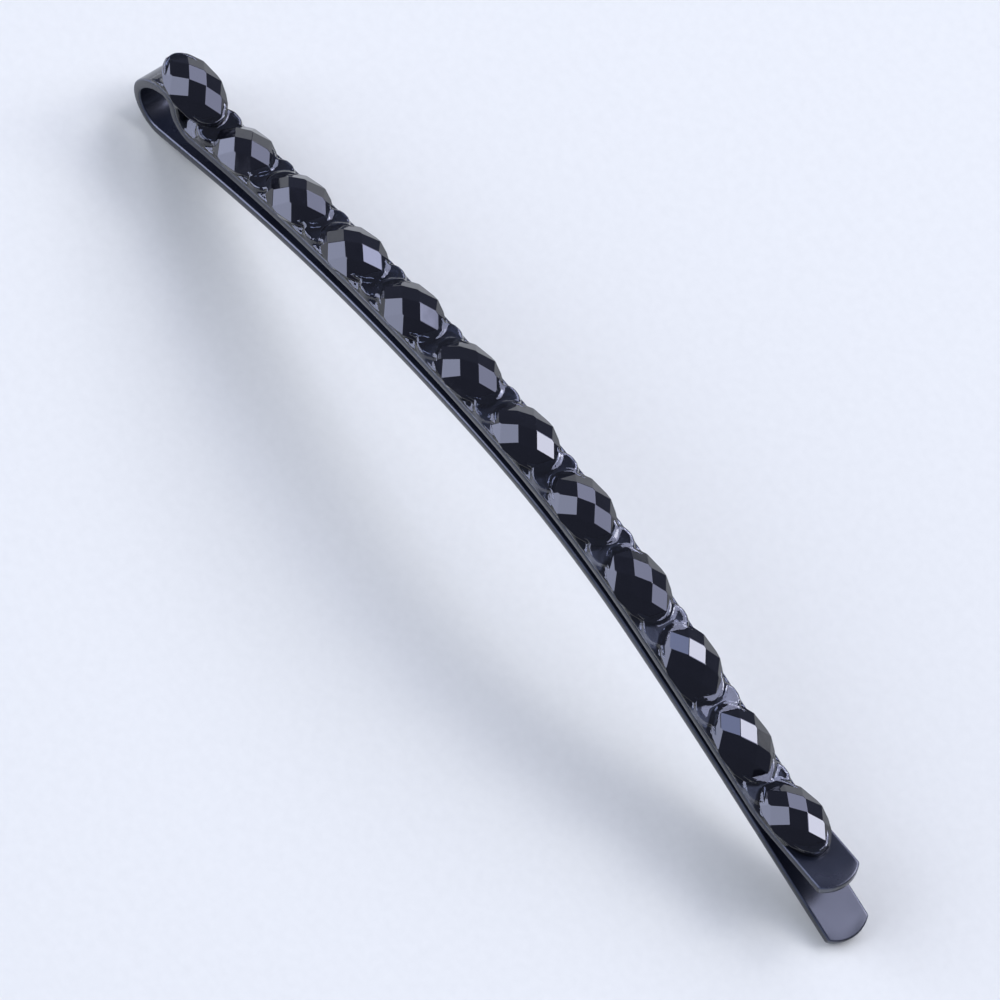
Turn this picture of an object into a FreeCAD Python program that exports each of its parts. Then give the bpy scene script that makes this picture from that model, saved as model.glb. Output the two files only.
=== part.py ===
import FreeCAD, Part
import math
import os

# A decorated hair pin: one flat spring-steel strip bent into a loop and two legs,
# with a row of faceted stones bedded in clear glue along the upper leg.
# Sizes are in mm and degrees. X runs from the loop to the tips, Y is across the
# strip, Z is up, and the origin is on the ground under the middle of the pin.

# Strip
strip_width = 2.9
strip_thickness = 0.6
strip_edge_radius = 0.12
tip_end_radius = 2.1

# Bow of the lower leg, in order from the loop to the tip (radii at mid thickness)
lead_length = 4.9
rear_bow_radius = 91.3
rear_bow_length = 25.9
crown_bow_radius = 40.6
crown_bow_length = 14.0
front_bow_radius = 168.0
front_bow_length = 11.2
toe_length = 9.4

# Loop (radii at mid thickness)
loop_radius = 1.68
loop_turn = 135.6
back_radius = 4.0
back_turn = 40.0
shoulder_radius = 0.85
neck_radius = 1.3

# Clear gap between the legs, where they leave the loop and where they pinch
neck_gap = 1.1
pinch_gap = 0.45

# Flare of the upper tip
flare_radius = 5.0
flare_turn = 22.0
flare_length = 5.1

# Stones: places are measured along the upper leg, from its start on the loop's top
stone_count = 12
stone_width = 3.1
stone_length = 5.0
stone_height = 1.3
stone_girdle_height = 0.5
stone_undercut = 17.0
stone_wall_count = 20
facet_rows = 4
facet_columns = 6
facet_across = 1.2
crown_radius_across = 1.4
crown_radius_along = 2.65
first_stone_place = 1.5
second_stone_place = 7.3
last_stone_setback = 4.7

# Glue
glue_film = 0.08
glue_width = 2.6
glue_rise = 0.5
glue_reach = 2.0
glue_margin = 0.3

# Slack for tools that cut right through, and for telling points apart
overrun = 1.0
same_point = 0.000001


def ahead(angle):
    return FreeCAD.Vector(math.cos(angle), 0, math.sin(angle))


def leftward(angle):
    return FreeCAD.Vector(-math.sin(angle), 0, math.cos(angle))


# A span is a piece of the strip's middle line: start, heading, length, curvature.
# Curvature is one over the radius, positive to the left and zero when straight.
def along(span, distance):
    point, angle, length, curvature = span
    if curvature == 0:
        return point + ahead(angle) * distance, angle
    turned = angle + distance * curvature
    return point + (leftward(angle) - leftward(turned)) * (1 / curvature), turned


def chain(point, angle, pieces):
    spans = []
    for length, curvature in pieces:
        spans.append((point, angle, length, curvature))
        point, angle = along(spans[-1], length)
    return spans


def end_of(spans):
    return along(spans[-1], spans[-1][2])


def walk(spans, distance):
    for span in spans[:-1]:
        if distance <= span[2]:
            return along(span, distance)
        distance -= span[2]
    return along(spans[-1], distance)


def beside(state, offset):
    return state[0] + leftward(state[1]) * offset


def side_edge(span, offset):
    first, middle, last = [beside(along(span, span[2] * share), offset) for share in (0, 0.5, 1)]
    if span[3] == 0:
        return Part.makeLine(first, last)
    return Part.Arc(first, middle, last).toShape()


def cap_edge(state):
    return Part.makeLine(beside(state, half_thickness), beside(state, -half_thickness))


# The strip along some spans, with its long edges rounded
def bent_strip(spans):
    edges = [side_edge(span, side) for span in spans for side in (half_thickness, -half_thickness)]
    edges += [cap_edge(along(spans[0], 0)), cap_edge(end_of(spans))]
    face = Part.Face(Part.Wire(Part.__sortEdges__(edges)))
    face.translate(FreeCAD.Vector(0, -half_width, 0))
    strip = face.extrude(FreeCAD.Vector(0, strip_width, 0))
    caps = [spans[0][0], end_of(spans)[0]]
    long_edges = [edge for edge in strip.Edges if is_long(edge, caps)]
    return strip.makeFillet(strip_edge_radius, long_edges)


# Long edges lie in the strip's two side planes and aren't edges of its end faces
def is_long(edge, caps):
    middle = edge.CenterOfMass
    middle.y = 0
    flat = edge.BoundBox.YLength < half_width
    return flat and all(middle.distanceToPoint(cap) > same_point for cap in caps)


def local_frame(point, angle):
    turn = FreeCAD.Rotation(FreeCAD.Vector(0, 1, 0), -math.degrees(angle))
    return FreeCAD.Placement(point, turn)


# The tip is cut to an arc across the strip's width
def arc_tip(strip, spans):
    point, angle = end_of(spans)
    sagitta = tip_end_radius - math.sqrt(tip_end_radius ** 2 - half_width ** 2)
    corner = FreeCAD.Vector(-sagitta, -strip_width, -strip_thickness)
    waste = Part.makeBox(sagitta + overrun, 2 * strip_width, 2 * strip_thickness, corner)
    centre = FreeCAD.Vector(-tip_end_radius, 0, -strip_thickness)
    waste = waste.cut(Part.makeCylinder(tip_end_radius, 2 * strip_thickness, centre))
    waste.Placement = local_frame(point, angle)
    return strip.cut(waste)


# A solid bounded by flat faces, each given by a normal and its distance
def flat_sided(planes):
    corners = []
    for i, (a, da) in enumerate(planes):
        for j, (b, db) in enumerate(planes[:i]):
            for c, dc in planes[:j]:
                spread = a.dot(b.cross(c))
                if abs(spread) > same_point:
                    point = (b.cross(c) * da + c.cross(a) * db + a.cross(b) * dc) * (1 / spread)
                    if all(n.dot(point) < d + same_point for n, d in planes):
                        if all(point.distanceToPoint(other) > same_point * 10 for other in corners):
                            corners.append(point)
    faces = []
    for normal, distance in planes:
        ring = [p for p in corners if abs(normal.dot(p) - distance) < same_point * 10]
        if len(ring) > 2:
            faces.append(flat_face(ring, normal))
    return Part.makeSolid(Part.makeShell(faces))


def flat_face(ring, normal):
    middle = FreeCAD.Vector()
    for point in ring:
        middle = middle + point * (1 / len(ring))
    first = ring[0] - middle
    second = normal.cross(first) * (1 / normal.Length)
    ring.sort(key=lambda p: math.atan2((p - middle).dot(second), (p - middle).dot(first)))
    return Part.Face(Part.makePolygon(ring + ring[:1]))


# Crown facets touch a bowl-shaped dome at points set out like a chessboard, so that
# they meet corner to corner as diamonds; walls lean in towards a flat back.
def faceted_stone():
    across = facet_across / 2
    lengthwise = across * math.sqrt(crown_radius_along / crown_radius_across)
    dome_top = stone_height - across ** 2 / (4 * crown_radius_across)
    planes = [(FreeCAD.Vector(0, 0, -1), 0)]
    for row in range(-facet_rows // 2, facet_rows // 2):
        for column in range(-facet_columns // 2, facet_columns // 2):
            if (row + column) % 2:
                x = (column + 0.5) * lengthwise
                y = (row + 0.5) * across
                lean = FreeCAD.Vector(x / crown_radius_along, y / crown_radius_across, 1)
                planes.append((lean, dome_top + (x * lean.x + y * lean.y) / 2))
    undercut = math.tan(math.radians(stone_undercut))
    for wall in range(stone_wall_count):
        angle = 2 * math.pi * (wall + 0.5) / stone_wall_count
        outward = FreeCAD.Vector(math.cos(angle), math.sin(angle), -undercut)
        reach = math.hypot(stone_length / 2 * outward.x, stone_width / 2 * outward.y)
        planes.append((outward, reach - undercut * stone_girdle_height))
    return flat_sided(planes)


# A stone's seat bridges the strip's top under its base and clears the highest point there
def seat(place):
    reach = stone_length / 2
    tops = [beside(walk(decorated_spans, loop_length + place + reach * share), half_thickness)
            for share in (step / 20 for step in range(-20, 21))]
    slope = tops[-1] - tops[0]
    angle = math.atan2(slope.z, slope.x)
    lift = max((top - tops[0]).dot(leftward(angle)) for top in tops) + glue_film
    middle = (tops[0] + tops[-1]) * 0.5
    return middle + leftward(angle) * lift, angle


# A dab of glue fills up round its stone's base and meets the next dab half way
def glue_dab(number):
    outline = []
    for joint, angle in (joints[number], joints[number + 1]):
        outline.append([joint + leftward(angle) * glue_rise, joint - leftward(angle) * glue_reach])
    corners = [outline[0][0], outline[1][0], outline[1][1], outline[0][1], outline[0][0]]
    face = Part.Face(Part.makePolygon(corners))
    face.translate(FreeCAD.Vector(0, -glue_width / 2, 0))
    dab = face.extrude(FreeCAD.Vector(0, glue_width, 0))
    dab = dab.cut(shapes["upper_leg"]).cut(shapes["spring_loop"]).cut(stones[number])
    up = leftward(seats[number][1])
    return max(dab.Solids, key=lambda solid: solid.CenterOfMass.dot(up))


half_width = strip_width / 2
half_thickness = strip_thickness / 2

# Middle line of the lower leg, starting where it leaves the loop
lower_spans = chain(FreeCAD.Vector(), 0.0, [
    (lead_length, 0),
    (rear_bow_length, -1 / rear_bow_radius),
    (crown_bow_length, -1 / crown_bow_radius),
    (front_bow_length, -1 / front_bow_radius),
    (toe_length, 0),
])
pinch_point, pinch_angle = along(lower_spans[-1], 0)

# The upper leg follows the lower one at the pinch gap and is swung open to the neck gap
leg_offset = strip_thickness + pinch_gap
swing_point = beside((pinch_point, pinch_angle), leg_offset)
swing = -(neck_gap - pinch_gap) / swing_point.Length
raised = FreeCAD.Vector(0, 0, leg_offset) - swing_point
turn_out = FreeCAD.Rotation(FreeCAD.Vector(0, 1, 0), -math.degrees(swing))
upper_start = swing_point + turn_out.multVec(raised)

# Middle line of the loop: from the lower leg round to the loop's top
loop_centre = FreeCAD.Vector(0, 0, loop_radius)
loop_spans = chain(FreeCAD.Vector(), math.pi, [
    (loop_radius * math.radians(loop_turn), -1 / loop_radius),
    (back_radius * math.radians(back_turn), -1 / back_radius),
])
top_point, top_angle = end_of(loop_spans)

# Shoulder and neck: two arcs that join the loop's top to the upper leg
shoulder_centre = top_point - leftward(top_angle) * shoulder_radius
rise = (shoulder_centre - upper_start).dot(leftward(swing))
run = (shoulder_centre - upper_start).dot(ahead(swing))
bend_radii = shoulder_radius + neck_radius
neck_run = run + math.sqrt(bend_radii ** 2 - (neck_radius - rise) ** 2)
neck_centre = upper_start + ahead(swing) * neck_run + leftward(swing) * neck_radius
steep = neck_centre - shoulder_centre
steep_angle = math.atan2(steep.z, steep.x) - math.pi / 2
offset_pieces = [(length * (1 - leg_offset * curvature), curvature / (1 - leg_offset * curvature))
                 for point, angle, length, curvature in lower_spans[1:4]]
upper_spans = chain(top_point, top_angle, [
    (shoulder_radius * (top_angle - steep_angle), -1 / shoulder_radius),
    (neck_radius * (swing - steep_angle), 1 / neck_radius),
    (lead_length - neck_run, 0),
] + offset_pieces + [
    (flare_radius * math.radians(flare_turn), 1 / flare_radius),
    (flare_length, 0),
])

shapes = {}
shapes["lower_leg"] = arc_tip(bent_strip(lower_spans), lower_spans)
shapes["spring_loop"] = bent_strip(loop_spans)
shapes["upper_leg"] = arc_tip(bent_strip(upper_spans), upper_spans)

# Stones along the upper leg; the first bridges the shoulder and the neck
decorated_spans = loop_spans + upper_spans
loop_length = sum(span[2] for span in loop_spans)
last_stone_place = sum(span[2] for span in upper_spans) - last_stone_setback
pitch = (last_stone_place - second_stone_place) / (stone_count - 2)
places = [first_stone_place] + [second_stone_place + pitch * step for step in range(stone_count - 1)]
seats = [seat(place) for place in places]
blank = faceted_stone()
stones = []
for point, angle in seats:
    stone = blank.copy()
    stone.Placement = local_frame(point, angle)
    stones.append(stone)

# Joints between the dabs of glue, half way between the stones and just past the row's ends
half_length = stone_length / 2
joints = [(seats[0][0] - ahead(seats[0][1]) * (half_length + glue_margin), seats[0][1])]
for left, right in zip(seats, seats[1:]):
    near = left[0] + ahead(left[1]) * half_length
    far = right[0] - ahead(right[1]) * half_length
    joints.append(((near + far) * 0.5, (left[1] + right[1]) / 2))
joints.append((seats[-1][0] + ahead(seats[-1][1]) * (half_length + glue_margin), seats[-1][1]))

for number, stone in enumerate(stones):
    shapes["glue_dab_%02d" % (number + 1)] = glue_dab(number)
    shapes["stone_%02d" % (number + 1)] = stone

# The pin rests on the loop's underside and on the lower tip's end
loop_reach = loop_radius + half_thickness
tip_state = end_of(lower_spans)
tip_low = beside(tip_state, -half_thickness)
to_tip = tip_low - loop_centre
level = -math.asin(loop_reach / to_tip.Length) - math.atan2(to_tip.z, to_tip.x)
resting = local_frame(FreeCAD.Vector(), level)
loop_end = resting.multVec(loop_centre).x - loop_reach
tip_end = max(resting.multVec(beside(tip_state, side)).x for side in (half_thickness, -half_thickness))
ground = resting.multVec(tip_low).z
resting.Base = FreeCAD.Vector(-(loop_end + tip_end) / 2, 0, -ground)

os.makedirs("parts", exist_ok=True)
for name, shape in shapes.items():
    shape.Placement = resting.multiply(shape.Placement)
    shape.exportStep("parts/%s.step" % name)

# Places that the record uses, in mm
steps = 200
spring_middle = FreeCAD.Vector()
for step in range(steps):
    spring_middle = spring_middle + walk(loop_spans, loop_length * (step + 0.5) / steps)[0] * (1 / steps)
print("loop pivot", resting.multVec(spring_middle))
print("mouth", resting.multVec(beside((pinch_point, pinch_angle), leg_offset / 2)))
print("mouth heading", math.degrees(pinch_angle + level))
print("grip length", sum(span[2] for span in upper_spans[2:6]))
print("pitch", pitch)
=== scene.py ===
# %% [markdown]
# # A decorated bobby pin
# The real pin is one flat strip of spring steel, lacquered black and bent into a keyhole loop and
# two bowed legs. Twelve oval jet stones sit in clear glue along the upper leg. The CAD model fixes
# every place and size, so this script only dresses it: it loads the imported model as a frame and
# models each visible piece again, in metres and in the same place, with finer edges and finishes.

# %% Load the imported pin
import math
import bpy
from mathutils import Matrix, Vector


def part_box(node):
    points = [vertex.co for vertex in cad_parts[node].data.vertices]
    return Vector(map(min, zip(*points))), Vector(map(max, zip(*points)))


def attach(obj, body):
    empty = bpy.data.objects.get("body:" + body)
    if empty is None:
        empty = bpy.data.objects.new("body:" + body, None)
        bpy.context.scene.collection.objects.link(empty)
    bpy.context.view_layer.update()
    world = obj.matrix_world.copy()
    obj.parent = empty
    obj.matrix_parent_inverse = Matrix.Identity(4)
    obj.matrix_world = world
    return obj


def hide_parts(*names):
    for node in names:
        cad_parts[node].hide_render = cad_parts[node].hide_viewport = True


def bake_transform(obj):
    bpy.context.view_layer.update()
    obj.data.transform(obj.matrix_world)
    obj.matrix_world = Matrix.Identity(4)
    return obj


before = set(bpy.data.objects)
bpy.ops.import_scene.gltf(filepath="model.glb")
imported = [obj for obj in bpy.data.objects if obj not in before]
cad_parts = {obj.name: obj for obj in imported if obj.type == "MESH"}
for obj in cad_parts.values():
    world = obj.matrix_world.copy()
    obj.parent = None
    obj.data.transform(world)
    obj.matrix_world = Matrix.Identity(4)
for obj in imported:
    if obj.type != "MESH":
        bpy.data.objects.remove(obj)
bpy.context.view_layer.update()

# %% [markdown]
# ## The path of the strip
# A strip bent on a forming tool is a row of straight runs and round bends. So its middle line is
# written as spans: a length and a curvature, which is one over the radius, positive to the left.
# A drawn curve would also do, but with spans the sizes stay those of the tool and of the CAD model.
# Walking along the spans gives every place that the later steps need. Each step starts from a
# state, which is a place and a heading.

# %% Walk along spans


def ahead(angle):
    """The direction of travel at a heading."""
    return Vector((math.cos(angle), 0, math.sin(angle)))


def leftward(angle):
    """The direction to the left of a heading."""
    return Vector((-math.sin(angle), 0, math.cos(angle)))


def after(state, length, curvature):
    """The place and heading after one span."""
    point, angle = state
    if curvature == 0:
        return point + ahead(angle) * length, angle
    turned = angle + length * curvature
    return point + (leftward(angle) - leftward(turned)) / curvature, turned


quarter_turn = after((Vector(), 0.0), math.pi / 2, 1)
print("a quarter turn of radius 1 ends at", [round(value, 3) for value in quarter_turn[0]])

# %% [markdown]
# The lower leg is a straight lead, three bows of different radius and a straight toe. The loop is a
# tight bend with a wider back. Their sizes could be measured on the loaded nodes, but written out
# in millimetres, as a maker would note them, they can be read and changed.

# %% Spans of the lower leg and the loop
mm = 0.001
lead_length = 4.9 * mm
toe_length = 9.4 * mm
bows = [(25.9 * mm, -1 / (91.3 * mm)),
        (14.0 * mm, -1 / (40.6 * mm)),
        (11.2 * mm, -1 / (168.0 * mm))]
loop_radius = 1.68 * mm
loop_turn = math.radians(135.6)
back_radius = 4.0 * mm
back_turn = math.radians(40.0)
lower_spans = [(lead_length, 0)] + bows + [(toe_length, 0)]
loop_spans = [(loop_radius * loop_turn, -1 / loop_radius),
              (back_radius * back_turn, -1 / back_radius)]
print("lower leg and loop have", len(lower_spans), "and", len(loop_spans), "spans")

# %% [markdown]
# A pin laid on a table touches it with the underside of its loop and with its lower tip. The path
# is turned until both are level, then moved so that the pin's length is centred on the origin. The
# CAD model rests in the same way, so the two agree without a single measured place.

# %% Rest the strip on its loop and its lower tip
strip_thickness = 0.6 * mm
half_thickness = strip_thickness / 2


def end_of(state, spans):
    """The place and heading after all the spans."""
    for span in spans:
        state = after(state, *span)
    return state


def beside(state, offset):
    """The point at a distance to the left of the path."""
    return state[0] + leftward(state[1]) * offset


leg_tip = end_of((Vector(), 0.0), lower_spans)
loop_centre = Vector((0, 0, loop_radius))
loop_reach = loop_radius + half_thickness
to_tip = beside(leg_tip, -half_thickness) - loop_centre
level = -math.asin(loop_reach / to_tip.length) - math.atan2(to_tip.z, to_tip.x)
turn_level = Matrix.Rotation(-level, 3, "Y")
ground = (turn_level @ beside(leg_tip, -half_thickness)).z
tip_end = max((turn_level @ beside(leg_tip, side)).x for side in (half_thickness, -half_thickness))
loop_end = (turn_level @ loop_centre).x - loop_reach
lower_start = (Vector((-(loop_end + tip_end) / 2, 0, -ground)), level)
loop_start = (lower_start[0], level + math.pi)
loop_top = end_of(loop_start, loop_spans)
print("lower leg starts at", lower_start, "and the loop's top is at", loop_top)

# %% [markdown]
# The upper leg is pressed in the same tool as the lower one, so it has the same bows, set off by
# the gap between the legs. It nearly touches the lower leg at the pinch and is swung open about
# that point, so that the gap is wider at the neck. Its bows could be written out like the lower
# leg's, but worked out from them they always fit.

# %% Upper leg beside the lower one
neck_gap = 1.1 * mm
pinch_gap = 0.45 * mm


def offset_spans(spans, offset):
    """The spans of a path that runs at a distance to the left."""
    return [(length * (1 - offset * k), k / (1 - offset * k)) for length, k in spans]


leg_offset = strip_thickness + pinch_gap
pinch = end_of(lower_start, lower_spans[:-1])
swing_point = beside(pinch, leg_offset)
reach_back = lower_start[0] - swing_point
swing = -(neck_gap - pinch_gap) / reach_back.length
opened = Matrix.Rotation(-swing, 3, "Y") @ (beside(lower_start, leg_offset) - swing_point)
leg_start = swing_point + opened
leg_angle = level + swing
print("upper leg is swung open by", round(math.degrees(-swing), 2), "degrees")

# %% [markdown]
# From the loop the strip comes down over a tight shoulder into a neck, and there it meets the leg.
# The neck's place could be found by trial, but the two radii and the leg's line leave only one
# place where all of them touch. At the far end the leg flares up, so that hair can enter.

# %% Shoulder, neck and flare
shoulder_radius = 0.85 * mm
neck_radius = 1.3 * mm
flare_radius = 5.0 * mm
flare_turn = math.radians(22.0)
flare_length = 5.1 * mm
shoulder_centre = beside(loop_top, -shoulder_radius)
rise = (shoulder_centre - leg_start).dot(leftward(leg_angle))
run = (shoulder_centre - leg_start).dot(ahead(leg_angle))
neck_run = run + math.sqrt((shoulder_radius + neck_radius) ** 2 - (neck_radius - rise) ** 2)
neck_centre = leg_start + ahead(leg_angle) * neck_run + leftward(leg_angle) * neck_radius
steep = neck_centre - shoulder_centre
steep_angle = math.atan2(steep.z, steep.x) - math.pi / 2
upper_spans = [(shoulder_radius * (loop_top[1] - steep_angle), -1 / shoulder_radius),
               (neck_radius * (leg_angle - steep_angle), 1 / neck_radius),
               (lead_length - neck_run, 0)]
upper_spans += offset_spans(bows, leg_offset)
upper_spans += [(flare_radius * flare_turn, 1 / flare_radius), (flare_length, 0)]
print("upper leg ends at", end_of(loop_top, upper_spans))

# %% [markdown]
# ## The strip
# The strip's section is swept along the spans: a small flat grid stands across the path, and in
# edit mode it is extruded along each straight run and spun round each bend. A curve with a bevel
# object would sweep it too, but here every bend keeps its own number of steps. The grid has columns
# across the width, so that a tip can be pulled back to its rounded end.

# %% Sweep a section along the path
columns = 16
bend_step = math.radians(4)
run_step = 1.2 * mm


def deselect():
    bpy.ops.object.select_all(action="DESELECT")


def sweep(name, start, spans, width, thickness):
    """Extrudes and spins a flat section along the spans."""
    point, angle = start
    deselect()
    turn = Matrix((Vector((0, 1, 0)), leftward(angle), ahead(angle))).transposed()
    bpy.ops.mesh.primitive_grid_add(x_subdivisions=columns, y_subdivisions=1, size=1,
                                    location=point, rotation=turn.to_euler())
    strip = bpy.context.object
    strip.name = strip.data.name = name
    strip.scale = (width, thickness, 1)
    bpy.ops.object.transform_apply(location=True, rotation=True, scale=True)
    bpy.ops.object.mode_set(mode="EDIT")
    bpy.ops.mesh.select_all(action="SELECT")
    state = start
    for length, curvature in spans:
        bend = length * curvature
        steps = max(math.ceil(length / run_step), math.ceil(abs(bend) / bend_step))
        if curvature == 0:
            for step in range(steps):
                bpy.ops.mesh.extrude_region_move(
                    TRANSFORM_OT_translate={"value": ahead(state[1]) * (length / steps)})
        else:
            bpy.ops.mesh.spin(steps=steps, angle=bend, axis=(0, 1, 0),
                              center=beside(state, 1 / curvature))
        state = after(state, length, curvature)
    bpy.ops.object.mode_set(mode="OBJECT")
    return strip


print("a bend takes a step every", round(math.degrees(bend_step)), "degrees")

# %% [markdown]
# The strip is cut with a rounded end, so that it slides into hair. The sweep ends flat, so each
# column of its end is pulled back to an arc. A boolean cut would leave long thin faces on the rim.

# %% Round a tip
strip_width = 2.9 * mm
tip_end_radius = 2.1 * mm
touch = 0.01 * mm


def edit_select(obj, kind, chosen):
    """Leaves edit mode's own selection as the chosen vertices or edges."""
    modes = {"vertices": "VERT", "edges": "EDGE"}
    bpy.ops.mesh.select_mode(type=modes[kind])
    bpy.ops.mesh.select_all(action="DESELECT")
    bpy.ops.object.mode_set(mode="OBJECT")
    for item in getattr(obj.data, kind):
        item.select = chosen(item)
    bpy.ops.object.mode_set(mode="EDIT")


def round_tip(strip, tip):
    """Pulls the end back column by column, to an arc across the width."""
    point, angle = tip
    bpy.ops.object.mode_set(mode="EDIT")
    for column in range(columns + 1):
        y = strip_width * (column / columns - 0.5)
        edit_select(strip, "vertices", lambda v: (v.co - point).dot(ahead(angle)) > -touch
                    and abs(v.co.y - y) < touch)
        back = math.sqrt(tip_end_radius ** 2 - y ** 2) - tip_end_radius
        bpy.ops.transform.translate(value=ahead(angle) * back)
    bpy.ops.object.mode_set(mode="OBJECT")


print("tips are rounded in", columns, "columns")

# %% [markdown]
# Tumbling and lacquer round the long edges and the tip's rim, and there the light catches. A Bevel
# modifier would round every sharp edge, the seams inside the strip too, and leave a groove between
# its three pieces. So the edges are picked in code and bevelled in edit mode.

# %% Round the long edges
sharp_angle = math.radians(30)
smooth_angle = math.radians(40)
bevel_steps = 3
weld = 0.001 * mm


def in_seam(ends, seam):
    """Tells whether an edge lies in the cross-cut where two pieces of the strip meet."""
    point, angle = seam
    level_with = all(abs((end - point).dot(ahead(angle))) < touch for end in ends)
    return level_with and all((end - point).length < strip_width for end in ends)


def round_edges(strip, seams, radius):
    """Bevels every sharp edge that isn't in a seam, and shades the strip smooth."""
    mesh = strip.data
    normals = {}
    for face in mesh.polygons:
        for key in face.edge_keys:
            normals.setdefault(key, []).append(face.normal.copy())
    sharp = set()
    for edge in mesh.edges:
        ends = [mesh.vertices[i].co for i in edge.vertices]
        sides = normals[edge.key]
        if len(sides) == 2 and sides[0].angle(sides[1]) > sharp_angle:
            if not any(in_seam(ends, seam) for seam in seams):
                sharp.add(edge.index)
    bpy.ops.object.mode_set(mode="EDIT")
    edit_select(strip, "edges", lambda edge: edge.index in sharp)
    bpy.ops.mesh.bevel(offset=radius, segments=bevel_steps, affect="EDGES")
    bpy.ops.mesh.select_all(action="SELECT")
    bpy.ops.mesh.remove_doubles(threshold=weld)
    bpy.ops.mesh.normals_make_consistent(inside=False)
    bpy.ops.object.mode_set(mode="OBJECT")
    bpy.ops.object.shade_smooth_by_angle(angle=smooth_angle)


print("edges sharper than", round(math.degrees(sharp_angle)), "degrees are rounded")

# %% [markdown]
# Each finished piece should fill about the same box as its CAD node. It could be checked by eye in
# the viewport, but the difference, printed in millimetres, shows the smallest slip at once.

# %% Compare a piece with its CAD node


def compare(obj, node):
    """Prints how far a finished piece's box is from its CAD node's, in mm."""
    corners = [obj.matrix_world @ Vector(corner) for corner in obj.bound_box]
    low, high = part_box(node)
    gap_low = [round((min(c[i] for c in corners) - low[i]) / mm, 3) for i in range(3)]
    gap_high = [round((max(c[i] for c in corners) - high[i]) / mm, 3) for i in range(3)]
    print(obj.name, len(obj.data.polygons), "faces, box differs by", gap_low, gap_high)


# %% [markdown]
# The lower leg is the longer one and lies against the scalp. It could be a bent box, but the sweep
# gives the tool's own bows. Its tip is rounded, and only the seam to the loop keeps its edges.

# %% Lower leg
strip_edge_radius = 0.12 * mm
lower_leg = sweep("strip_lower_leg", lower_start, lower_spans, strip_width, strip_thickness)
round_tip(lower_leg, end_of(lower_start, lower_spans))
round_edges(lower_leg, [lower_start], strip_edge_radius)
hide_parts("lower_leg")
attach(lower_leg, "lower")
compare(lower_leg, "lower_leg")

# %% [markdown]
# The upper leg carries the stones. It is swept in one go from the loop's top over the shoulder, the
# neck, the bows and the flare, because the real strip runs through without a joint.

# %% Upper leg
upper_leg = sweep("strip_upper_leg", loop_top, upper_spans, strip_width, strip_thickness)
round_tip(upper_leg, end_of(loop_top, upper_spans))
round_edges(upper_leg, [loop_top], strip_edge_radius)
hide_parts("upper_leg")
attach(upper_leg, "upper")
compare(upper_leg, "upper_leg")

# %% [markdown]
# The loop is the spring, and when the legs open it bends all along. Here it is swept once and
# baked into place, tied to neither leg. A stiff loop on a hinge would tear at one of its seams.

# %% Spring loop
loop = sweep("strip_spring_loop", loop_start, loop_spans, strip_width, strip_thickness)
round_edges(loop, [loop_start, loop_top], strip_edge_radius)
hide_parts("spring_loop")
compare(loop, "spring_loop")
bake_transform(loop)

# %% [markdown]
# ## The stones
# The stones are oval, flat-backed and cut with a net of diamond facets. A cutter starts from an
# oval blank and grinds one flat after another, and the same is done here. The facets could be built
# corner by corner, but ground flats always meet in true corners. A low oval cylinder is the blank,
# and grinding is a bisect by the flat's plane that clears the outside and fills the cut.

# %% Stone blank
stone_width = 3.1 * mm
stone_length = 5.0 * mm
stone_height = 1.3 * mm
blank_allowance = 1.1
round_sides = 64
cut_tolerance = 0.0001 * mm


def grind(point, normal):
    """Takes off all that lies outside a plane and fills the cut."""
    bpy.ops.mesh.select_all(action="SELECT")
    bpy.ops.mesh.bisect(plane_co=point, plane_no=normal, use_fill=True, clear_outer=True,
                        threshold=cut_tolerance)


deselect()
bpy.ops.mesh.primitive_cylinder_add(vertices=round_sides, radius=0.5, depth=2 * stone_height,
                                    location=(0, 0, stone_height))
stone_blank = bpy.context.object
stone_blank.scale = (blank_allowance * stone_length, blank_allowance * stone_width, 1)
bpy.ops.object.transform_apply(location=True, rotation=True, scale=True)
print("blank", [round(size / mm, 2) for size in stone_blank.dimensions])

# %% [markdown]
# The crown's flats all lean on one shallow dome, steeper across the stone than along it. They lie
# in a checker of rows and columns, and each touches the dome at the middle of its square. Planes
# set out like that cut each other in a net of diamonds, which is the net that the photo shows.

# %% Grind the crown
facet_rows = 6
facet_columns = 6
facet_across = 0.6 * mm
crown_across = 1.4 * mm
crown_along = 2.65 * mm
facet_along = facet_across * math.sqrt(crown_along / crown_across)
dome_top = stone_height - facet_across ** 2 / (4 * crown_across)
bpy.ops.object.mode_set(mode="EDIT")
for row in range(-facet_rows // 2, facet_rows // 2):
    for column in range(-facet_columns // 2, facet_columns // 2):
        if (row + column) % 2:
            x = (column + 0.5) * facet_along
            y = (row + 0.5) * facet_across
            height = dome_top - x * x / (2 * crown_along) - y * y / (2 * crown_across)
            grind((x, y, height), (x / crown_along, y / crown_across, 1))
bpy.ops.object.mode_set(mode="OBJECT")
print("crown has", facet_rows * facet_columns // 2, "flats")

# %% [markdown]
# Below the crown the sides lean in towards the flat back, so that glue can grip the stone. Twenty
# narrow flats round the oval make that side and leave the girdle as its widest line.

# %% Grind the sides
girdle_height = 0.5 * mm
undercut = math.tan(math.radians(17.0))
wall_count = 20
bpy.ops.object.mode_set(mode="EDIT")
for wall in range(wall_count):
    angle = 2 * math.pi * (wall + 0.5) / wall_count
    out = Vector((math.cos(angle), math.sin(angle), 0))
    reach = math.hypot(stone_length / 2 * out.x, stone_width / 2 * out.y)
    grind(out * reach + Vector((0, 0, girdle_height)), out - Vector((0, 0, undercut)))
bpy.ops.object.mode_set(mode="OBJECT")
print("sides have", wall_count, "flats")

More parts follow.
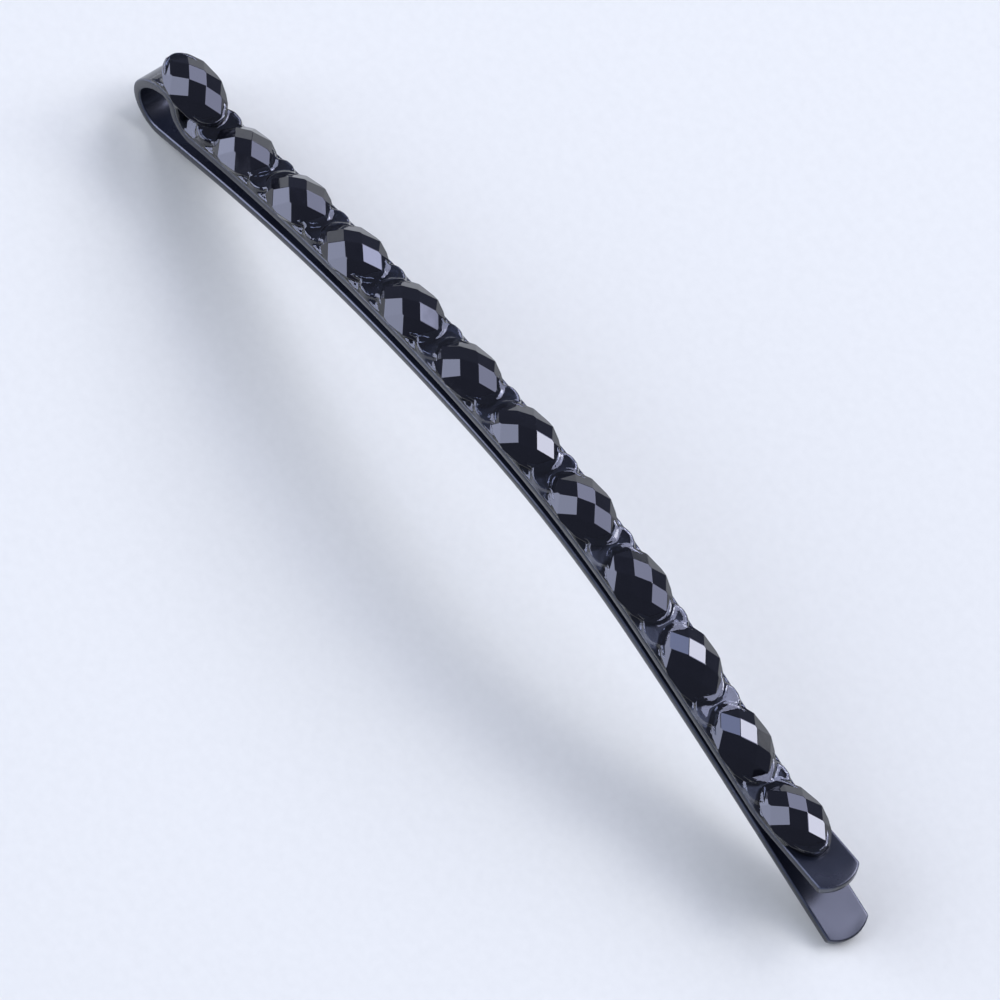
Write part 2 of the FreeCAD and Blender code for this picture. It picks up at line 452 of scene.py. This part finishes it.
# %% [markdown]
# Polished glass never has a perfect edge: a hair-thin line is left, and that line makes the edges
# glint. So all edges get a very small bevel of one step, after the cuts' double corners are merged
# and leftover lines inside a flat are dissolved. The stone is also made a little fuller at its
# girdle, because moulded stones bulge there.

# %% Break the facet edges
facet_edge = 0.02 * mm
girdle_spread = (1.04, 1.03, 1)
facet_weld = 0.0005 * mm
flat_angle = math.radians(1)
bpy.ops.object.mode_set(mode="EDIT")
bpy.ops.mesh.select_all(action="SELECT")
bpy.ops.mesh.remove_doubles(threshold=facet_weld)
bpy.ops.mesh.dissolve_limited(angle_limit=flat_angle)
bpy.ops.mesh.select_all(action="SELECT")
bpy.ops.transform.resize(value=girdle_spread, center_override=(0, 0, 0))
bpy.ops.mesh.bevel(offset=facet_edge, segments=1, affect="EDGES")
bpy.ops.mesh.select_all(action="SELECT")
bpy.ops.mesh.normals_make_consistent(inside=False)
bpy.ops.object.mode_set(mode="OBJECT")
stone_size = [round(size / mm, 2) for size in stone_blank.dimensions]
print("stone", stone_size, len(stone_blank.data.polygons), "faces")

# %% [markdown]
# Each stone bridges the curved strip with its flat back, so it rests on a chord of the strip's top.
# The first lies over the neck, and the others follow at even steps up to the flared tip. A seat is
# worked out from the strip's own path, so the stones follow it if the bows change.

# %% Seats along the upper leg
stone_count = 12
first_stone_place = 1.5 * mm
second_stone_place = 7.3 * mm
last_stone_setback = 4.7 * mm
glue_film = 0.08 * mm
seat_steps = 20
decorated = loop_spans + upper_spans
loop_length = sum(length for length, curvature in loop_spans)
last_place = sum(length for length, curvature in upper_spans) - last_stone_setback
pitch = (last_place - second_stone_place) / (stone_count - 2)
places = [first_stone_place]
places += [second_stone_place + pitch * step for step in range(stone_count - 1)]


def walk(state, spans, distance):
    """The place and heading at a distance along the spans."""
    for length, curvature in spans[:-1]:
        if distance <= length:
            return after(state, distance, curvature)
        state = after(state, length, curvature)
        distance -= length
    return after(state, distance, spans[-1][1])


def seat(place):
    """The middle and the slope of a stone's flat back at a place along the leg."""
    tops = []
    for step in range(-seat_steps, seat_steps + 1):
        along = place + stone_length / 2 * step / seat_steps
        tops.append(beside(walk(loop_start, decorated, loop_length + along), half_thickness))
    slope = tops[-1] - tops[0]
    angle = math.atan2(slope.z, slope.x)
    lift = max((top - tops[0]).dot(leftward(angle)) for top in tops) + glue_film
    return (tops[0] + tops[-1]) / 2 + leftward(angle) * lift, angle


seats = [seat(place) for place in places]
print(stone_count, "seats,", round(pitch / mm, 2), "mm apart")

# %% [markdown]
# The stones were pressed into the glue by hand, so each sits a little turned or leaning, and its
# facets catch the light differently. The list gives each stone's own two angles in degrees: turned
# about its height, and leaning to one side. Twelve copies of the one cut stone are set this way.

# %% Set the stones
tilts = [(0, 0), (-4, -2), (0, 0), (1, 2), (-1, 1), (0, -1),
         (0, 0), (-1, 0), (1, 0), (-5.5, 0), (-2.3, 0), (3.5, 0)]
stones = []
for number, ((point, angle), (turned, lean)) in enumerate(zip(seats, tilts), 1):
    stone = stone_blank.copy()
    stone.data = stone_blank.data.copy()
    stone.name = stone.data.name = "jet_stone_%02d" % number
    bpy.context.collection.objects.link(stone)
    by_hand = (Matrix.Rotation(math.radians(lean), 4, "X")
               @ Matrix.Rotation(math.radians(turned), 4, "Z"))
    on_leg = Matrix.Translation(point) @ Matrix.Rotation(-angle, 4, "Y")
    stone.data.transform(on_leg @ by_hand)
    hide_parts("stone_%02d" % number)
    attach(stone, "upper")
    stones.append(stone)
bpy.data.objects.remove(stone_blank)
compare(stones[0], "stone_01")
compare(stones[-1], "stone_12")

# %% [markdown]
# ## The glue
# Clear glue was run along the leg and the stones were pressed into it. So it stands up against each
# stone in a hollow fillet, dips in a saddle between two stones and fills the neck under the first.
# Modelled by hand that skin would be hard to close. Here simple solids are laid into each other and
# melted later. The first is the film along the strip, swept like the strip itself.

# %% Glue film
glue_width = 2.84 * mm
film_depth = 0.36 * mm
film_rise = 0.18 * mm
film_setback = 1.5 * mm
film_offset = half_thickness + film_rise - film_depth / 2
row_start = loop_length + places[0] - stone_length / 2
row_length = places[-1] - places[0] + stone_length - film_setback


def part_of(spans, begin, length):
    """The spans between two places along the path."""
    kept = []
    for span_length, curvature in spans:
        low, high = max(begin, 0), min(begin + length, span_length)
        if high > low:
            kept.append((high - low, curvature))
        begin -= span_length
    return kept


film_state = walk(loop_start, decorated, row_start)
film_spans = offset_spans(part_of(decorated, row_start, row_length), film_offset)
film_start = (beside(film_state, film_offset), film_state[1])
film = sweep("glue_film", film_start, film_spans, glue_width, film_depth)
print("film", round(row_length / mm, 1), "mm long")

# %% [markdown]
# Pressing a stone down squeezes glue up round its base, and where two stones meet the glue is
# pulled up between them. So each stone gets an oval plug round its base, and each gap a lower oval
# saddle. A torus would follow the stone's rim too, but plugs leave no hollow below the stone.

# %% Glue round the stones and between them
plug_margin = 0.06 * mm
plug_rise = 0.55 * mm
plug_root = 0.2 * mm
plug_size = (stone_length + 2 * plug_margin - undercut * girdle_height, glue_width)
saddle_rise = 0.42 * mm
saddle_size = (2.4 * mm, 2.76 * mm)


def oval_drop(point, angle, size, rise):
    """An oval cylinder that stands on the leg and reaches a little into it."""
    deselect()
    bpy.ops.mesh.primitive_cylinder_add(vertices=round_sides, radius=0.5, depth=rise + plug_root)
    drop = bpy.context.object
    drop.scale = (*size, 1)
    bpy.ops.object.transform_apply(location=False, rotation=False, scale=True)
    middle = point + leftward(angle) * (rise - plug_root) / 2
    drop.data.transform(Matrix.Translation(middle) @ Matrix.Rotation(-angle, 4, "Y"))
    return drop


drops = [oval_drop(point, angle, plug_size, plug_rise) for point, angle in seats]
for (left, left_angle), (right, right_angle) in zip(seats, seats[1:]):
    left_end = left + ahead(left_angle) * stone_length / 2
    right_end = right - ahead(right_angle) * stone_length / 2
    angle = (left_angle + right_angle) / 2
    drops.append(oval_drop((left_end + right_end) / 2, angle, saddle_size, saddle_rise))
print(len(drops), "drops of glue")

# %% [markdown]
# The first stone bridges the dip of the neck, so the glue is deepest there and shows as a clear
# wedge with a bright streak. A round pool is laid into the neck and ground off level with the
# stone's base. Two more cuts slope its sides, because glue sinks away from the strip's edges.

# %% Glue pool in the neck
pool_sink = 0.1 * mm
pool_rise = 0.12 * mm
pool_slope = (-0.18, 0.56, 0.81)
neck_floor = neck_radius - half_thickness
first_point, first_angle = seats[0]
deselect()
bpy.ops.mesh.primitive_cylinder_add(vertices=round_sides, radius=neck_floor + pool_sink,
                                    depth=glue_width, location=neck_centre,
                                    rotation=(math.pi / 2, 0, 0))
pool = bpy.context.object
bpy.ops.object.transform_apply(location=True, rotation=True, scale=True)
bpy.ops.object.mode_set(mode="EDIT")
grind(first_point + leftward(first_angle) * plug_root, leftward(first_angle))
for side in (-1, 1):
    rim = neck_centre - leftward(leg_angle) * (neck_floor - pool_rise)
    rim += Vector((0, side * glue_width / 2, 0))
    grind(rim, Vector((pool_slope[0], side * pool_slope[1], pool_slope[2])))
bpy.ops.object.mode_set(mode="OBJECT")
drops.append(pool)
print("pool", [round(size / mm, 2) for size in pool.dimensions])

# %% [markdown]
# Wet glue has one skin, and surface tension rounds all its corners. A boolean union would join the
# solids but keep each hard corner. A voxel remesh melts them into one closed skin, and smoothing
# then draws the fillets. Its glints show every step, so the voxels are as fine as the piece's limit
# on faces allows.

# %% Melt the glue together
glue_voxel = 0.078 * mm
tension = 0.5
tension_rounds = 16
deselect()
for drop in drops:
    drop.select_set(True)
film.select_set(True)
bpy.context.view_layer.objects.active = film
bpy.ops.object.join()
glue = film
glue.name = glue.data.name = "glue_run"
melt = glue.modifiers.new("melt", "REMESH")
melt.mode = "VOXEL"
melt.voxel_size = glue_voxel
bpy.ops.object.modifier_apply(modifier="melt")
draw = glue.modifiers.new("surface tension", "SMOOTH")
draw.factor = tension
draw.iterations = tension_rounds
bpy.ops.object.modifier_apply(modifier="surface tension")
bpy.ops.object.shade_smooth()
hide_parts(*["glue_dab_%02d" % number for number in range(1, stone_count + 1)])
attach(glue, "upper")
print("glue", len(glue.data.polygons), "faces")

# %% [markdown]
# ## Finishes
# Every finish is a small node tree. One function adds a node with its settings and links, and one
# turns an sRGB hex colour into the linear values that Blender mixes. Pattern sizes are given in mm,
# and all patterns use Object coordinates, so they stay on the pieces when the pin opens.

# %% Node and colour helpers
# A Mix node has sockets of one name for numbers and for colours, so a colour's go by number here.
# A Math node's inputs are all called Value, so they go by number too.
mix_share, mix_first, mix_second, mix_result = 0, 6, 7, 2


def hex_colour(code):
    """The linear values of an sRGB hex colour, with full alpha."""
    channels = [int(code[i:i + 2], 16) / 255 for i in (1, 3, 5)]
    return [c / 12.92 if c <= 0.04045 else ((c + 0.055) / 1.055) ** 2.4 for c in channels] + [1]


def add_node(tree, kind, inputs=(), **settings):
    """Adds a node; an input is a value or the socket that feeds it."""
    node = tree.nodes.new(kind)
    for name, value in settings.items():
        setattr(node, name, value)
    for socket, value in dict(inputs).items():
        if isinstance(value, bpy.types.NodeSocket):
            tree.links.new(value, node.inputs[socket])
        else:
            node.inputs[socket].default_value = value
    return node


def new_material(name):
    """A material with an empty node tree."""
    material = bpy.data.materials.new(name)
    material.use_nodes = True
    material.node_tree.nodes.clear()
    return material, material.node_tree


def dress(material, *pieces):
    """Puts one material on the pieces."""
    for piece in pieces:
        piece.data.materials.clear()
        piece.data.materials.append(material)
    nodes = len(material.node_tree.nodes)
    print(material.name, "has", nodes, "nodes and is on", len(pieces), "pieces")


print("mid grey #808080 is", round(hex_colour("#808080")[0], 3), "in linear light")

# %% [markdown]
# The strip is dipped in black lacquer and baked. The film is blue-black and wears thin along the
# long edges, where a greyer line is painted. That line is partly wear and partly a painted
# highlight for the light that the rounded edges catch. The line could be painted by hand, but the
# edges can also be found by how far the surface faces sideways: not the flats, not the sides, but
# the bevel between. A pattern of big soft spots breaks the line up, because wear is never even.

# %% Satin lacquer, tone, worn edges and painted edge highlight
# Baked satin lacquer on spring steel: blue-black, with a soft wide sheen and greyer edges,
# partly wear and partly a painted edge highlight.
lacquer, tree = new_material("satin_black_lacquer_on_spring_steel")
coords = add_node(tree, "ShaderNodeTexCoord")
cloud_size = 3.0 * mm
cloud = add_node(tree, "ShaderNodeTexNoise", {
    "Vector": coords.outputs["Object"], "Scale": 1 / cloud_size, "Detail": 4.0})
film_tone = add_node(tree, "ShaderNodeMix", {
    mix_share: cloud.outputs["Fac"], mix_first: hex_colour("#0d0f15"),
    mix_second: hex_colour("#191d27")}, data_type="RGBA")
facing = add_node(tree, "ShaderNodeSeparateXYZ", {"Vector": coords.outputs["Normal"]})
sideways = add_node(tree, "ShaderNodeMath", {0: facing.outputs["Y"]}, operation="ABSOLUTE")
off_flat = add_node(tree, "ShaderNodeMapRange", {
    "Value": sideways.outputs["Value"], "From Min": 0.15, "From Max": 0.45})
off_side = add_node(tree, "ShaderNodeMapRange", {
    "Value": sideways.outputs["Value"], "From Min": 0.8, "From Max": 0.97,
    "To Min": 1.0, "To Max": 0.0})
edge = add_node(tree, "ShaderNodeMath", {
    0: off_flat.outputs["Result"], 1: off_side.outputs["Result"]}, operation="MULTIPLY")
patchy = add_node(tree, "ShaderNodeMapRange", {
    "Value": cloud.outputs["Fac"], "From Min": 0.35, "From Max": 0.6,
    "To Min": 0.15, "To Max": 0.6})
wear_and_edge_highlight = add_node(tree, "ShaderNodeMath", {
    0: edge.outputs["Value"], 1: patchy.outputs["Result"]}, operation="MULTIPLY")
# The greyer edge line is partly wear and partly a painted highlight on the rounded edges.
tone = add_node(tree, "ShaderNodeMix", {
    mix_share: wear_and_edge_highlight.outputs["Value"], mix_first: film_tone.outputs[mix_result],
    mix_second: hex_colour("#5b616e")}, data_type="RGBA")
print("lacquer's soft spots are about", round(cloud_size / mm, 1), "mm wide")

# %% [markdown]
# Baked lacquer isn't a mirror. Its sheen differs a little from place to place, and it keeps a faint
# orange peel from its flow. The peel could be real relief, but it is much finer than the strip's
# mesh, so a bump gives it to the light.

# %% Satin lacquer, sheen and orange peel
rough = add_node(tree, "ShaderNodeMapRange", {
    "Value": cloud.outputs["Fac"], "From Min": 0.3, "From Max": 0.7,
    "To Min": 0.21, "To Max": 0.3})
peel_size = 0.25 * mm
peel = add_node(tree, "ShaderNodeTexNoise", {
    "Vector": coords.outputs["Object"], "Scale": 1 / peel_size, "Detail": 3.0})
bump = add_node(tree, "ShaderNodeBump", {
    "Height": peel.outputs["Fac"], "Strength": 0.08, "Distance": 0.02 * mm})
shader = add_node(tree, "ShaderNodeBsdfPrincipled", {
    "Base Color": tone.outputs[mix_result], "Roughness": rough.outputs["Result"], "IOR": 1.65,
    "Normal": bump.outputs["Normal"]})
add_node(tree, "ShaderNodeOutputMaterial", {"Surface": shader.outputs["BSDF"]})
dress(lacquer, lower_leg, upper_leg, loop)

# %% [markdown]
# The stones are black pressed glass with a fire polish. They show almost no colour of their own,
# only sharp reflections: a facet is white, lilac or black by what it mirrors. The facets' tones
# could be painted, but mirrored lamps also look right from the other sides. A little smear from
# handling changes the tone and the polish in spots.

# %% Jet glass
# Fire-polished black glass: nearly no colour of its own, and reflections as sharp as a mirror's.
jet, tree = new_material("polished_jet_glass")
coords = add_node(tree, "ShaderNodeTexCoord")
smear_size = 0.8 * mm
smear = add_node(tree, "ShaderNodeTexNoise", {
    "Vector": coords.outputs["Object"], "Scale": 1 / smear_size, "Detail": 4.0})
tone = add_node(tree, "ShaderNodeMix", {
    mix_share: smear.outputs["Fac"], mix_first: hex_colour("#07070a"),
    mix_second: hex_colour("#101014")}, data_type="RGBA")
rough = add_node(tree, "ShaderNodeMapRange", {
    "Value": smear.outputs["Fac"], "From Min": 0.35, "From Max": 0.75,
    "To Min": 0.02, "To Max": 0.07})
shader = add_node(tree, "ShaderNodeBsdfPrincipled", {
    "Base Color": tone.outputs[mix_result], "Roughness": rough.outputs["Result"], "IOR": 1.6})
add_node(tree, "ShaderNodeOutputMaterial", {"Surface": shader.outputs["BSDF"]})
dress(jet, *stones)

# %% [markdown]
# Two-part resin sets clear and glassy, so it is seen by its glints and by the black steel under it.
# Light passes through with little bending, which keeps the small fillets free of noise, and a clear
# coat gives the bright crescents. A faint haze comes from tiny bubbles.

# %% Clear glue
# Clear two-part resin: glassy and smooth, so the eye sees its glints and the dark steel below.
resin, tree = new_material("clear_epoxy_glue")
coords = add_node(tree, "ShaderNodeTexCoord")
haze_size = 1.0 * mm
haze = add_node(tree, "ShaderNodeTexNoise", {
    "Vector": coords.outputs["Object"], "Scale": 1 / haze_size, "Detail": 2.0})
tone = add_node(tree, "ShaderNodeMix", {
    mix_share: haze.outputs["Fac"], mix_first: hex_colour("#7c828e"),
    mix_second: hex_colour("#a3a9b5")}, data_type="RGBA")
rough = add_node(tree, "ShaderNodeMapRange", {
    "Value": haze.outputs["Fac"], "From Min": 0.35, "From Max": 0.7,
    "To Min": 0.06, "To Max": 0.13})
shader = add_node(tree, "ShaderNodeBsdfPrincipled", {
    "Base Color": tone.outputs[mix_result], "Roughness": rough.outputs["Result"], "IOR": 1.2,
    "Transmission Weight": 1.0, "Coat Weight": 1.0, "Coat IOR": 1.55, "Coat Roughness": 0.04})
add_node(tree, "ShaderNodeOutputMaterial", {"Surface": shader.outputs["BSDF"]})
dress(resin, glue)

# %% [markdown]
# ## Floor, light and camera
# The pin lies on a plain pale sheet. The sheet is large, so that no edge of it shows or mirrors in
# the stones, and matt, with a slight fibre pattern. Its paper is warm, and the cool light turns it
# to the bluish white of the photo.

# %% Floor
# Matt paper: an even pale surface. Its fibres are drawn coarser than real ones, so that they show.
floor_size = 3.0
deselect()
bpy.ops.mesh.primitive_plane_add(size=floor_size)
floor = bpy.context.object
floor.name = "floor"
paper, tree = new_material("pale_paper")
coords = add_node(tree, "ShaderNodeTexCoord")
fibre_size = 0.6 * mm
fibre = add_node(tree, "ShaderNodeTexNoise", {
    "Vector": coords.outputs["Object"], "Scale": 1 / fibre_size, "Detail": 2.0})
tone = add_node(tree, "ShaderNodeMix", {
    mix_share: fibre.outputs["Fac"], mix_first: hex_colour("#d6d4bf"),
    mix_second: hex_colour("#dcdac5")}, data_type="RGBA")
shader = add_node(tree, "ShaderNodeBsdfPrincipled", {
    "Base Color": tone.outputs[mix_result], "Roughness": 0.9})
add_node(tree, "ShaderNodeOutputMaterial", {"Surface": shader.outputs["BSDF"]})
dress(paper, floor)

# %% [markdown]
# A dim, even sky fills the shadows. On its own it would light everything alike and hide the bows,
# so it only helps the lamps. The Standard view shows the colours as they are written.

# %% Sky
scene = bpy.context.scene
scene.view_settings.view_transform = "Standard"
world = bpy.data.worlds.new("studio")
scene.world = world
world.use_nodes = True
sky = world.node_tree.nodes["Background"]
sky.inputs["Color"].default_value = hex_colour("#bac4ee")
sky.inputs["Strength"].default_value = 0.34
print("sky strength", round(sky.inputs["Strength"].default_value, 2))

# %% [markdown]
# Black glass shows the lamps themselves, so they are placed by what the facets mirror. A wide soft
# window behind the pin gives the lilac facets on its right, with a pane above it for the stones
# near the loop, and a box at the left gives the left ones. Two small lamps make the few white
# facets, and a third lights the shoulder. Point lamps would give only pinpricks in the glass.

# %% Lamps


def soft_box(name, compass, height, distance, size, power, colour):
    """A lamp that faces the pin, in metres, watts and degrees.

    Compass turns from +X towards +Y, and height is the angle above the floor.
    """
    light = bpy.data.lights.new(name, "AREA")
    light.shape = "RECTANGLE"
    light.size, light.size_y = size
    light.energy = power
    light.color = hex_colour(colour)[:3]
    lamp = bpy.data.objects.new(name, light)
    bpy.context.collection.objects.link(lamp)
    turn, lift = math.radians(compass), math.radians(height)
    out = Vector((math.cos(lift) * math.cos(turn), math.cos(lift) * math.sin(turn), math.sin(lift)))
    lamp.location = out * distance
    lamp.rotation_euler = out.to_track_quat("Z", "Y").to_euler()
    print(name, "at", [round(value, 2) for value in lamp.location])


soft_box("window", compass=85, height=39, distance=1.6, size=(2.4, 0.87), power=33,
         colour="#c9cef2")
soft_box("upper pane", compass=60, height=58, distance=1.7, size=(1.7, 0.37), power=11,
         colour="#c9cef2")
soft_box("left box", compass=-140, height=28, distance=1.6, size=(1.6, 1.4), power=41,
         colour="#cad1f2")
soft_box("high lamp", compass=92, height=44, distance=1.4, size=(0.24, 0.24), power=1.6,
         colour="#f2f3ff")
soft_box("low lamp", compass=61, height=36, distance=1.4, size=(0.28, 0.4), power=3.1,
         colour="#f2f3ff")
soft_box("top box", compass=167, height=59, distance=1.6, size=(0.32, 0.32), power=1.55,
         colour="#b9c6fa")

# %% [markdown]
# The camera stands where the photo was taken from: high, in front of the tips, with a long lens. It
# could be set by eye, but its place and turn were fitted to the pin's outline in the photo. It is
# then aimed a little to the left and down, so that the pin fills the frame.

# %% Camera
camera_place = Vector((0.1449, -0.1622, 0.3893))
photo_right = Vector((0.6238, 0.7638, 0.1661))
photo_up = Vector((-0.7124, 0.4682, 0.5228))
photo_ahead = Vector((-0.3217, 0.4444, -0.8362))
aim_left = 0.0692
aim_down = 0.0541
aim = (photo_ahead - aim_left * photo_right - aim_down * photo_up).normalized()
right = (photo_right - aim * photo_right.dot(aim)).normalized()
up = right.cross(aim)
lens = bpy.data.cameras.new("camera")
lens.sensor_width = 36
lens.lens = 283.6
lens.clip_start = 0.01
camera = bpy.data.objects.new("camera", lens)
bpy.context.collection.objects.link(camera)
turn = Matrix((right, up, -aim)).transposed()
camera.matrix_world = Matrix.Translation(camera_place) @ turn.to_4x4()
scene.camera = camera
print("camera at", [round(value, 3) for value in camera_place])
